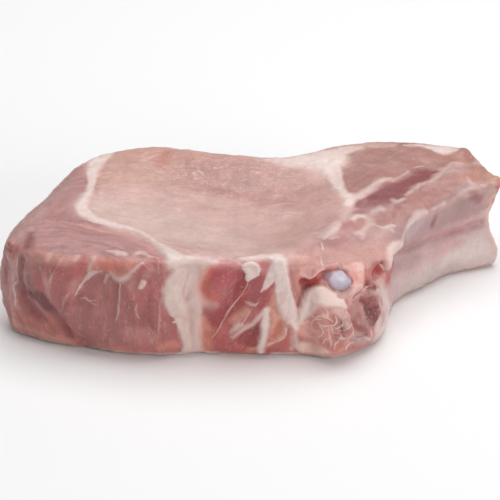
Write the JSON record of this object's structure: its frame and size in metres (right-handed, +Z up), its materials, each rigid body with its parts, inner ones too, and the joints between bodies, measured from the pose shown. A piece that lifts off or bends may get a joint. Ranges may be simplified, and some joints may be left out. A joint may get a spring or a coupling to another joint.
{
  "type": "raw pork chop",
  "caption": "Thick raw pork rib chop lying flat, with its loin eye, fat seams, rib bone and joint cartilage, a ready piece of food for a kitchen or butcher's scene.",
  "frame": {"origin": "middle of the lower cut face, on the surface that the chop lies on", "axes": "+X along the chop from its outer end to the tip of the rib, +Y from the spine side to the belly side, +Z up through its thickness"},
  "size_m": [0.1682, 0.0942, 0.0367],
  "materials": {
    "meat": "moist raw meat with white fat",
    "rib_bone": "moist sawn bone",
    "joint_cartilage": "smooth wet cartilage"
  },
  "bodies": {
    "root": {"meat": "meat", "rib_bone": "rib_bone", "joint_cartilage": "joint_cartilage"}
  },
  "joints": []
}
